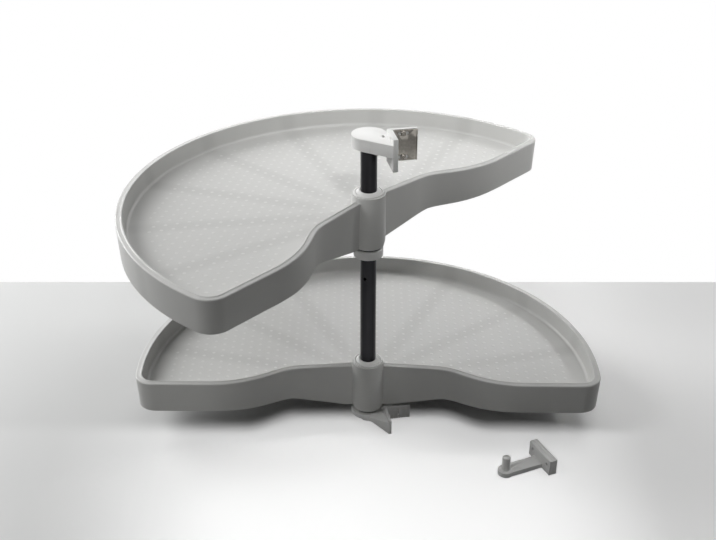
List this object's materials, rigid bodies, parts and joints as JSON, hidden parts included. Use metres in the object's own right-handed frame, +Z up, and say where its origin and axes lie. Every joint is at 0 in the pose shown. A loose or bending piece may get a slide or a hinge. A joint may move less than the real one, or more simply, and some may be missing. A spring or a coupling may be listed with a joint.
{
  "type": "half-moon corner carousel",
  "caption": "Half-moon corner cabinet carousel: moulded trays with waisted fronts swing on a steel pole between brackets that nest on a cabinet's corner post.",
  "frame": {"origin": "on the pole's axis, at the underside of the bottom bracket, on the cabinet floor", "axes": "+Z up the pole, +X from the pole towards the post's side face, square to the screws' leg, and -Y forward along that leg"},
  "size_m": [0.7499, 0.636, 0.517],
  "materials": {
    "tray_plastic": "moulded light grey, satin, with a field of small raised dots on the floor",
    "light_grey_plastic": "moulded light grey, satin",
    "dark_washer_plastic": "dark low-friction plastic",
    "pole_steel": "dark polished tube",
    "plated_steel": "bright zinc plating"
  },
  "bodies": {
    "brackets": {"bottom_bracket": "light_grey_plastic", "bottom_pivot_pin": "light_grey_plastic", "bottom_thrust_washer": "dark_washer_plastic", "top_bracket": "light_grey_plastic", "top_bracket_keeper": "light_grey_plastic", "keeper_screw": "plated_steel", "top_pivot_pin": "light_grey_plastic", "top_packing_plate": "light_grey_plastic", "top_steel_plate": "plated_steel", "steel_plate_screws": "plated_steel", "loose_bracket": "light_grey_plastic", "loose_pivot_pin": "light_grey_plastic", "loose_inner_packer": "light_grey_plastic", "loose_outer_packer": "light_grey_plastic"},
    "pole": {"pole_tube": "pole_steel", "pole_foot_bush": "light_grey_plastic", "pole_top_bush": "light_grey_plastic"},
    "collar": {"height_collar": "light_grey_plastic", "collar_clamp_screw": "pole_steel", "collar_thrust_washer": "dark_washer_plastic"},
    "upper_tray": {"upper_tray": "tray_plastic", "upper_hub_top_bush": "light_grey_plastic", "upper_hub_foot_bush": "dark_washer_plastic"},
    "lower_tray": {"lower_tray": "tray_plastic", "lower_hub_top_bush": "light_grey_plastic", "lower_hub_foot_bush": "dark_washer_plastic"}
  },
  "joints": [
    {"name": "pole_turn", "type": "hinge", "parent": "brackets", "child": "pole", "pos_m": [0, 0, 0.25], "axis": [0, 0, 1], "continuous": true},
    {"name": "collar_slide", "type": "slide", "parent": "pole", "child": "collar", "axis": [0, 0, 1], "range_m": [-0.045, 0]},
    {"name": "upper_tray_turn", "type": "hinge", "parent": "collar", "child": "upper_tray", "pos_m": [0, 0, 0.37], "axis": [0, 0, 1], "continuous": true},
    {"name": "lower_tray_turn", "type": "hinge", "parent": "pole", "child": "lower_tray", "pos_m": [0, 0, 0.07], "axis": [0, 0, 1], "continuous": true}
  ]
}
